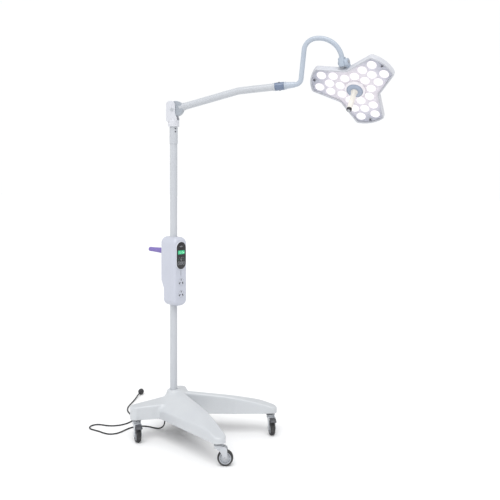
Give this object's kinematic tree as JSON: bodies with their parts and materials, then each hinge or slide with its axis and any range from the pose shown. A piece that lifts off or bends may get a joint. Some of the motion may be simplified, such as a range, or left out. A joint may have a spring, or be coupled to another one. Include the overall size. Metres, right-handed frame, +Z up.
{
  "type": "examination lamp",
  "caption": "Mobile examination lamp: petal-shaped LED head on a gooseneck and jointed arm, pole with control box, and a four-legged castered base.",
  "frame": {"origin": "on the floor under the middle of the pole", "axes": "+Z up along the pole, +X ahead between the two long legs, +Y to the left"},
  "size_m": [1.6636, 0.8545, 2.0522],
  "materials": {
    "shell_white": "smooth moulded",
    "powder_white": "satin powder coat",
    "frame_steel": "black oxide",
    "ballast_iron": "painted",
    "screw_steel": "satin",
    "bolt_steel": "satin",
    "fork_grey": "satin",
    "hub_grey": "moulded",
    "tyre_black": "moulded",
    "pedal_grey": "moulded",
    "collar_blue": "satin",
    "neck_grey": "satin",
    "bracket_grey": "satin",
    "clear_cover": "clear",
    "board_white": "matt",
    "lens_glow": "lit",
    "grip_cream": "smooth",
    "black_plastic": "smooth",
    "panel_black": "gloss",
    "display_green": "lit",
    "button_white": "smooth",
    "pack_green": "coated",
    "grip_purple": "soft",
    "cord_black": "smooth"
  },
  "bodies": {
    "stand": {"base_cover": "shell_white", "base_frame": "frame_steel", "ballast_plate": "ballast_iron", "caster_sockets": "frame_steel", "housing_screws": "screw_steel", "pole": "powder_white", "pole_sleeve": "powder_white", "swivel_spindle": "bolt_steel", "box_back": "shell_white", "box_front": "shell_white", "box_clamp": "bolt_steel", "panel": "panel_black", "display": "display_green", "outlets": "shell_white", "power_pack": "pack_green", "push_grip": "grip_purple", "power_cord": "cord_black", "strain_relief": "cord_black", "mains_plug": "cord_black"},
    "caster_fl": {"fork_fl": "fork_grey", "axle_fl": "bolt_steel"},
    "wheel_fl": {"hub_fl": "hub_grey", "tyre_fl": "tyre_black"},
    "pedal_fl": {"brake_pedal_fl": "pedal_grey"},
    "caster_fr": {"fork_fr": "fork_grey", "axle_fr": "bolt_steel"},
    "wheel_fr": {"hub_fr": "hub_grey", "tyre_fr": "tyre_black"},
    "caster_rl": {"fork_rl": "fork_grey", "axle_rl": "bolt_steel"},
    "wheel_rl": {"hub_rl": "hub_grey", "tyre_rl": "tyre_black"},
    "caster_rr": {"fork_rr": "fork_grey", "axle_rr": "bolt_steel"},
    "wheel_rr": {"hub_rr": "hub_grey", "tyre_rr": "tyre_black"},
    "pedal_rr": {"brake_pedal_rr": "pedal_grey"},
    "swivel": {"swivel_yoke": "powder_white", "hinge_bolt": "bolt_steel"},
    "arm": {"arm_tube": "powder_white", "arm_collar": "collar_blue"},
    "neck": {"neck_sleeve": "neck_grey", "gooseneck": "neck_grey"},
    "head_mount": {"head_sleeve": "bracket_grey", "tilt_pin": "bolt_steel"},
    "head": {"head_bracket": "bracket_grey", "head_back": "shell_white", "head_bezel": "shell_white", "head_cover": "clear_cover", "led_board": "board_white", "led_lenses": "lens_glow", "centre_boss": "shell_white", "cover_screws": "screw_steel"},
    "handle": {"handle_grip": "grip_cream", "handle_cap": "black_plastic"},
    "key_power": {"button_power": "button_white"},
    "key_up": {"button_up": "button_white"},
    "key_down": {"button_down": "button_white"}
  },
  "joints": [
    {"name": "caster_swivel_fl", "type": "hinge", "parent": "stand", "child": "caster_fl", "pos_m": [0.443, 0.25, 0.09], "axis": [0, 0, 1], "continuous": true},
    {"name": "wheel_spin_fl", "type": "hinge", "parent": "caster_fl", "child": "wheel_fl", "pos_m": [0.46293, 0.22625, 0.0375], "axis": [0.766, 0.6428, 0], "continuous": true},
    {"name": "brake_fl", "type": "hinge", "parent": "caster_fl", "child": "pedal_fl", "pos_m": [0.46807, 0.22012, 0.086], "axis": [0.766, 0.6428, 0], "range_deg": [0, 12]},
    {"name": "caster_swivel_fr", "type": "hinge", "parent": "stand", "child": "caster_fr", "pos_m": [0.443, -0.25, 0.09], "axis": [0, 0, 1], "continuous": true},
    {"name": "wheel_spin_fr", "type": "hinge", "parent": "caster_fr", "child": "wheel_fr", "pos_m": [0.47037, -0.23545, 0.0375], "axis": [-0.4695, 0.8829, 0], "continuous": true},
    {"name": "caster_swivel_rl", "type": "hinge", "parent": "stand", "child": "caster_rl", "pos_m": [-0.095, 0.188, 0.09], "axis": [0, 0, 1], "continuous": true},
    {"name": "wheel_spin_rl", "type": "hinge", "parent": "caster_rl", "child": "wheel_rl", "pos_m": [-0.12494, 0.19602, 0.0375], "axis": [-0.2588, -0.9659, 0], "continuous": true},
    {"name": "caster_swivel_rr", "type": "hinge", "parent": "stand", "child": "caster_rr", "pos_m": [-0.095, -0.188, 0.09], "axis": [0, 0, 1], "continuous": true},
    {"name": "wheel_spin_rr", "type": "hinge", "parent": "caster_rr", "child": "wheel_rr", "pos_m": [-0.07125, -0.20793, 0.0375], "axis": [0.6428, 0.766, 0], "continuous": true},
    {"name": "brake_rr", "type": "hinge", "parent": "caster_rr", "child": "pedal_rr", "pos_m": [-0.06512, -0.21307, 0.086], "axis": [0.6428, 0.766, 0], "range_deg": [0, 12]},
    {"name": "arm_swivel", "type": "hinge", "parent": "stand", "child": "swivel", "pos_m": [0, 0, 1.62], "axis": [0, 0, 1], "range_deg": [-109, 71]},
    {"name": "arm_tilt", "type": "hinge", "parent": "swivel", "child": "arm", "pos_m": [-0.00189, -0.00065, 1.692], "axis": [-0.3256, 0.9455, 0], "range_deg": [-30, 40]},
    {"name": "neck_roll", "type": "hinge", "parent": "arm", "child": "neck", "pos_m": [0.53189, 0.18315, 1.80153], "axis": [0.9419, 0.3243, 0.0872], "range_deg": [-90, 90]},
    {"name": "head_swing", "type": "hinge", "parent": "neck", "child": "head_mount", "pos_m": [0.83244, 0.28663, 1.92711], "axis": [-0.1201, -0.0414, 0.9919], "range_deg": [-136, 12]},
    {"name": "head_tilt", "type": "hinge", "parent": "head_mount", "child": "head", "pos_m": [0.84627, 0.28705, 1.91267], "axis": [-0.9926, 0.0199, -0.1194], "range_deg": [-59, 46]},
    {"name": "handle_pull", "type": "slide", "parent": "head", "child": "handle", "axis": [0.0728, -0.6898, -0.7203], "range_m": [0, 0.05]},
    {"name": "press_power", "type": "slide", "parent": "stand", "child": "key_power", "axis": [-0.9681, 0.2504, 0], "range_m": [0, 0.001], "stiffness_N_per_m": 400},
    {"name": "press_up", "type": "slide", "parent": "stand", "child": "key_up", "axis": [-0.9681, 0.2504, 0], "range_m": [0, 0.001], "stiffness_N_per_m": 400},
    {"name": "press_down", "type": "slide", "parent": "stand", "child": "key_down", "axis": [-0.9681, 0.2504, 0], "range_m": [0, 0.001], "stiffness_N_per_m": 400}
  ]
}
